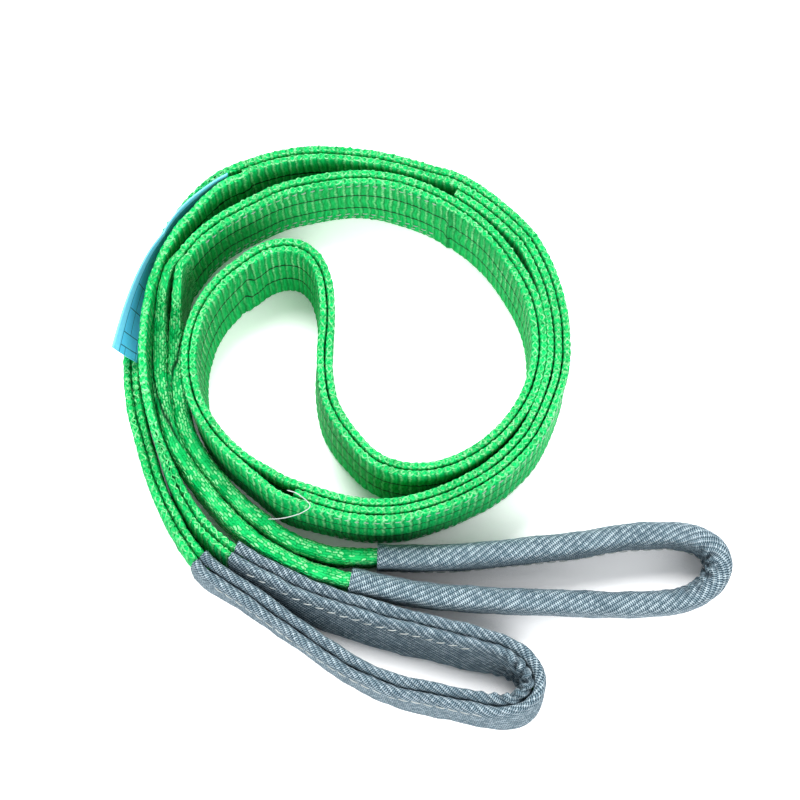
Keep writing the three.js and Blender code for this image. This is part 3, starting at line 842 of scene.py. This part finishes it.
def leg_chains(name, route, fold, foot, seed):
    """The selvedges of an open fold: one row at the crotch that parts into a row on each flap."""
    def up(s):
        return LEG_EDGE * (1 - folding(s, fold)) + (FOLD_EDGE - 0.1) * folding(s, fold) + 0.15

    paths = []
    for k in (-1, 1):
        paths += chain_paths(route, 0.5, route.length - 8, lambda s, k=k: k * 2.05 * folding(s, fold), up,
                             seed + k, lambda s: leg_lean(s, route, foot), side=1.1)
    return dress(tubes(name, paths, YARN), web_chain)


def short_chain(name, route, seed):
    """The selvedge that dives into the fold of a right-eye leg."""
    def top(s):
        return WEB - 0.5 - (WEB - LEG_HEIGHT) * folding(s, RIGHT_FOLD)

    paths = chain_paths(route, 0.5, 30, lambda s: 0, top, seed, side=1.25)
    return dress(tubes(name, paths, YARN), web_chain)


right_outer = Route(RIGHT_OUTER_LEG)
right_inner = Route(RIGHT_INNER_LEG)
front_outer = Route(FRONT_OUTER_LEG)
front_inner = Route(FRONT_INNER_LEG)
right_foot = RIGHT_LEAN[0][1]
foot_fo, foot_fi = FRONT_LEAN[-1][1], FRONT_LEAN[0][1]
outer_crease = groove([38, 55, 72, 80, 92, 104], [6.5, 5.0, 2.2, 0.0, -3.0, -6.0])
inner_crease = groove([34, 44, 52, 62, 74], [-5.5, -2.0, 2.0, 4.2, 5.5])
leg_ro = leg("right_eye_outer_leg_web", right_outer, RIGHT_FOLD, right_foot, 11, outer_crease)
leg_ri = leg("right_eye_inner_leg_web", right_inner, RIGHT_FOLD, right_foot, 13, inner_crease)
leg_fo = leg("front_eye_outer_leg_web", front_outer, FRONT_OUTER_FOLD, foot_fo, 15)
leg_fi = leg("front_eye_inner_leg_web", front_inner, FRONT_INNER_FOLD, foot_fi, 17)
open_face(leg_fo, FRONT_OUTER_FOLD)
open_face(leg_fi, FRONT_INNER_FOLD)
for piece, cloth in ((leg_ro, web_leg), (leg_ri, web_leg), (leg_fo, web_face), (leg_fi, web_face)):
    dress(piece, cloth)
chain_fo = leg_chains("front_eye_outer_leg_selvedge", front_outer, FRONT_OUTER_FOLD, foot_fo, 21)
chain_fi = leg_chains("front_eye_inner_leg_selvedge", front_inner, FRONT_INNER_FOLD, foot_fi, 24)
chain_ro = short_chain("right_eye_outer_leg_selvedge", right_outer, 27)
chain_ri = short_chain("right_eye_inner_leg_selvedge", right_inner, 28)
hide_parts("right_eye_outer_leg")
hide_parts("right_eye_inner_leg")
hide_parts("front_eye_outer_leg")
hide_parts("front_eye_inner_leg")


# ---------------------------------------- the sleeved eyes
front_eye = Route(FRONT_EYE)
right_eye = Route(RIGHT_EYE)
F, R = front_eye.length, right_eye.length
MOUTH = 2.2  # length of the raised hem at each mouth


def twill(S, V):
    return np.abs(np.sin(np.pi * (V * math.cos(TWILL) + S * math.sin(TWILL)) / CORD)) ** 0.8


def skin(length, tip, broad, fine, sink, hem):
    """The relief and shade of a sleeve: cords on the bias, broad and fine lumps given as (height, spacing,
    seed), cloth bunched inside its tip, and a raised hem at both mouths."""
    def crumple(S, V, sec):
        inner = smooth((-sec[..., 0] + 1.0) / 4.0)
        fold = S + tip["slant"] * V + 1.3 * np.sin(V * 0.45)
        return bell(S - tip["middle"], tip["width"]) * inner, np.sin(2 * np.pi * fold / tip["period"])

    def relief(S, V, sec):
        amount, wave = crumple(S, V, sec)
        lumps = broad[0] * wobble(S + V * 0.7, *broad[1:]) + fine[0] * wobble(S - V, *fine[1:])
        mouths = hem * (bell(S, MOUTH) + bell(S - length, MOUTH))
        return 0.24 * twill(S, V) + lumps + amount * (1.7 * wave - sink) + mouths

    # Painted shade in the hollows of the cloth bunched inside the tip.
    def shade(S, V, sec):
        amount, wave = crumple(S, V, sec)
        return np.clip(amount * smooth((-wave - 0.1) / 0.8) * 0.9, 0, 0.85)

    return relief, shade


def eye_body(name, route, outline, lean, step, q, relief=None, shade=None, wall=None):
    s = np.arange(0, route.length, step)
    controls = np.broadcast_to(outline[None], (len(s),) + outline.shape)
    return swept(name, route, s, controls, q, relief, eased(lean, s / route.length), wall, shade)


def sleeve(name, route, outline, lean, surface):
    return dress(eye_body(name, route, outline, lean, 0.6, 5, *surface, wall=0.9), sleeve_cloth)


def sleeve_web(name, route, outline, lean):
    """The webbing folded inside a sleeve, lifted a little off the sleeve's floor."""
    return dress(eye_body(name, route, outline + [0, 1.6], lean, 3.0, 2), web_leg)


front_skin = skin(F, dict(middle=0.475 * F, width=22, period=7.0, slant=0.5), (0.4, 41, 35), (0.2, 17, 37),
                  sink=0.5, hem=0.2)
right_skin = skin(R, dict(middle=0.5 * R, width=19, period=7.5, slant=0.35), (0.35, 47, 31), (0.2, 19, 33),
                  sink=0.9, hem=0.25)
front_sleeve = sleeve("front_eye_sleeve_cloth", front_eye, fold_outline(11.0, 32.4, 1.1, 13.0), FRONT_LEAN,
                      front_skin)
right_sleeve = sleeve("right_eye_sleeve_cloth", right_eye, fold_outline(11.6, 31.8, 1.1, 19.0, True),
                      RIGHT_LEAN, right_skin)
front_web = sleeve_web("front_eye_web_fold", front_eye, fold_outline(8.0, 29.0, 4.2, 10.5), FRONT_LEAN)
right_web = sleeve_web("right_eye_web_fold", right_eye, fold_outline(8.6, 28.0, 4.2, 16.0, True), RIGHT_LEAN)
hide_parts("front_eye_sleeve")
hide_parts("right_eye_sleeve")
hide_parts("front_eye_web")
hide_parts("right_eye_web")


# ---------------------------------------- the sewing
def stitches(route, across, up, s0, s1, pitch, length, slant=0.0, lean=None, seed=0):
    """Separate sewn stitches lying on a face; across and lean are functions of arc length."""
    paths = []
    k = np.linspace(-1, 1, 9)
    lift = 0.25 * (1 - k**2) - 0.15
    for i in range(int((s1 - s0) / pitch)):
        s = s0 + i * pitch + np.linspace(0, length, len(k))
        jitter = 0.35 * math.sin(i * 2.3 + seed)
        a = across(s)
        out = np.sign(a[0]) if abs(a[0]) > 1e-6 else 1.0
        paths.append(route.point(s, a + out * lift, up + jitter + slant * k, lean(s) if lean else 0.0))
    return paths


def thread_piece(name, paths, radius):
    return dress(tubes(name, paths, radius), thread)


def seam(name, route, across, up, start, end, length, lean, slant=0.0, seed=0):
    """A sleeve's seam between two shares of its eye."""
    paths = stitches(route, lambda s: across + 0 * s, up, start * route.length, end * route.length, 6.0,
                     length, slant, lambda s: eased(lean, s / route.length), seed)
    return thread_piece(name, paths, 0.26)


def rows(heights, u0, u1):
    """Rows of stitches on the outer face of the second ply, each starting a little after the one before."""
    paths = []
    for i, z in enumerate(heights):
        paths += stitches(body, lambda s, z=z: flared(across_b(s / L) - SEWN_FACE, s / L, z), z,
                          u0 * L + i * 1.3, u1 * L, 4.6, 2.6, slant=0.25, seed=i)
    return paths


def loose_end(points, count):
    """A Catmull-Rom curve through points in space."""
    p = np.array(points)
    p[:, :2] += SHIFT
    u = np.linspace(0, len(p) - 1, count)
    i = np.clip(u.astype(int), 0, len(p) - 2)
    f = (u - i)[:, None]
    p = np.vstack([2 * p[0] - p[1], p, 2 * p[-1] - p[-2]])
    a, b, c, d = (p[i + k] for k in range(4))
    return 0.5 * (2 * b + (c - a) * f + (2 * a - 5 * b + 4 * c - d) * f**2 + (3 * b - a - 3 * c + d) * f**3)


seam_fi = seam("front_sleeve_inner_seam", front_eye, -5.75, 28.0, 0.03, 0.37, 4.2, FRONT_LEAN, 1.0)
seam_fo = seam("front_sleeve_outer_seam", front_eye, 5.75, 28.0, 0.55, 0.975, 4.6, FRONT_LEAN, 0.5, seed=2)
seam_r = seam("right_sleeve_seam_stitches", right_eye, -6.3, 6.0, 0.03, 0.97, 4.4, RIGHT_LEAN)
tail = loose_end([(-53.6, -52.0, 59.0), (-48.3, -54.4, 61.0), (-42.6, -59.5, 60.0), (-45.9, -62.7, 59.0),
                  (-51.2, -64.2, 57.0), (-57.1, -64.3, 52.0), (-63.2, -62.8, 44.0)], 60)
right_zone = thread_piece("right_splice_thread", rows((4.5, 9.0, 54.5), 0.012, 0.14), 0.28)
lap_zone = thread_piece("lap_thread", rows((4.5, 54.0), LAP_START + 0.02, LAP_END - 0.02) + [tail], 0.24)
front_zone = thread_piece("front_splice_thread", rows((4.5, 9.0, 54.5), 0.94, 0.99), 0.28)
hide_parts("front_sleeve_seam_inner_leg")
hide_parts("front_sleeve_seam_outer_leg")
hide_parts("right_sleeve_seam")
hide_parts("right_splice_stitching")
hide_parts("lap_stitching")
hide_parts("front_splice_stitching")


# ---------------------------------------- the label
def label_strip():
    """Sewn in upright, then leaning out and curling along its free stretch."""
    hinge = LABEL_HINGE * label_route.length
    s = np.arange(0, label_route.length, 1.0)[:, None]
    free = np.clip((s - hinge) / (label_route.length - hinge), 0, 1)
    foot = np.where(s < hinge, TAB_FOOT, TAB_FOOT - LABEL_DROP * smooth(free * 3))
    k = np.linspace(0, 1, 15)
    v = np.concatenate([k, k[::-1]])[None]
    side = np.concatenate([np.ones(15), -np.ones(15)])[None] * 0.25
    z = foot + (LABEL_TOP - foot) * v
    slant = (0.4 + 9.8 * free) * (free > 0)
    curl = 0.5 * np.sin(np.pi * v) * free
    a = side - slant * v - curl
    s = np.broadcast_to(s, a.shape)
    cloth = np.stack([s, LABEL_HEIGHT * np.broadcast_to(v, a.shape), 0 * s], -1)
    return dress(lofted("label_strip", label_route.point(s, a, z), cloth), label_cloth)


label_route = Route(LABEL_ROUTE)
label = label_strip()
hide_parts("label_tab", "label")


def across_joint(piece):
    """Bake a piece's placement into its mesh."""
    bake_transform(piece)


for piece in (ply_a, ply_b, ply_c, chain_a, chain_b, chain_c, chain_ro, chain_ri,
              right_zone, lap_zone, front_zone):
    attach(piece, "coil")
for piece in (front_sleeve, front_web, seam_fi, seam_fo):
    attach(piece, "front_eye")
for piece in (right_sleeve, right_web, seam_r):
    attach(piece, "right_eye")
for piece in (leg_ro, leg_ri):
    across_joint(piece)
for piece in (leg_fo, leg_fi, chain_fo, chain_fi):
    across_joint(piece)
across_joint(label)

# ---------------------------------------- floor, light and camera, in metres
bpy.ops.mesh.primitive_plane_add(size=12, location=(0, 0, -0.0002))
floor = bpy.context.object
floor.name = "floor"
floor.data.materials.append(floor_material())

world = bpy.data.worlds.new("studio")
world.use_nodes = True
sky = world.node_tree.nodes["Background"].inputs
sky["Color"].default_value = (1, 1, 1, 1)
sky["Strength"].default_value = 0.9
bpy.context.scene.world = world


def area_light(name, place, size, power):
    """A round light that faces the object."""
    data = bpy.data.lights.new(name, "AREA")
    data.shape = "DISK"
    data.size = size
    data.energy = power
    obj = bpy.data.objects.new(name, data)
    obj.location = place
    obj.rotation_euler = (Vector((0, 0, 0.02)) - Vector(place)).to_track_quat("-Z", "Y").to_euler()
    bpy.context.scene.collection.objects.link(obj)


area_light("key", (-0.2, 0.65, 1.6), 0.6, 38)
area_light("fill", (0.5, -1.1, 1.3), 0.9, 15)

scene = bpy.context.scene
scene.view_settings.view_transform = "Standard"
scene.view_settings.look = "None"

AIM = Vector((-0.01053, 0.01718, 0.030))
ELEVATION = math.radians(75)
DISTANCE = 1.275
camera_data = bpy.data.cameras.new("camera")
camera_data.sensor_width = 36
camera_data.lens = 117
camera_data.clip_start = 0.05
camera = bpy.data.objects.new("camera", camera_data)
back = Vector((0, -math.cos(ELEVATION), math.sin(ELEVATION)))
camera.location = AIM + back * DISTANCE
camera.rotation_euler = (-back).to_track_quat("-Z", "Y").to_euler()
scene.collection.objects.link(camera)
scene.camera = camera
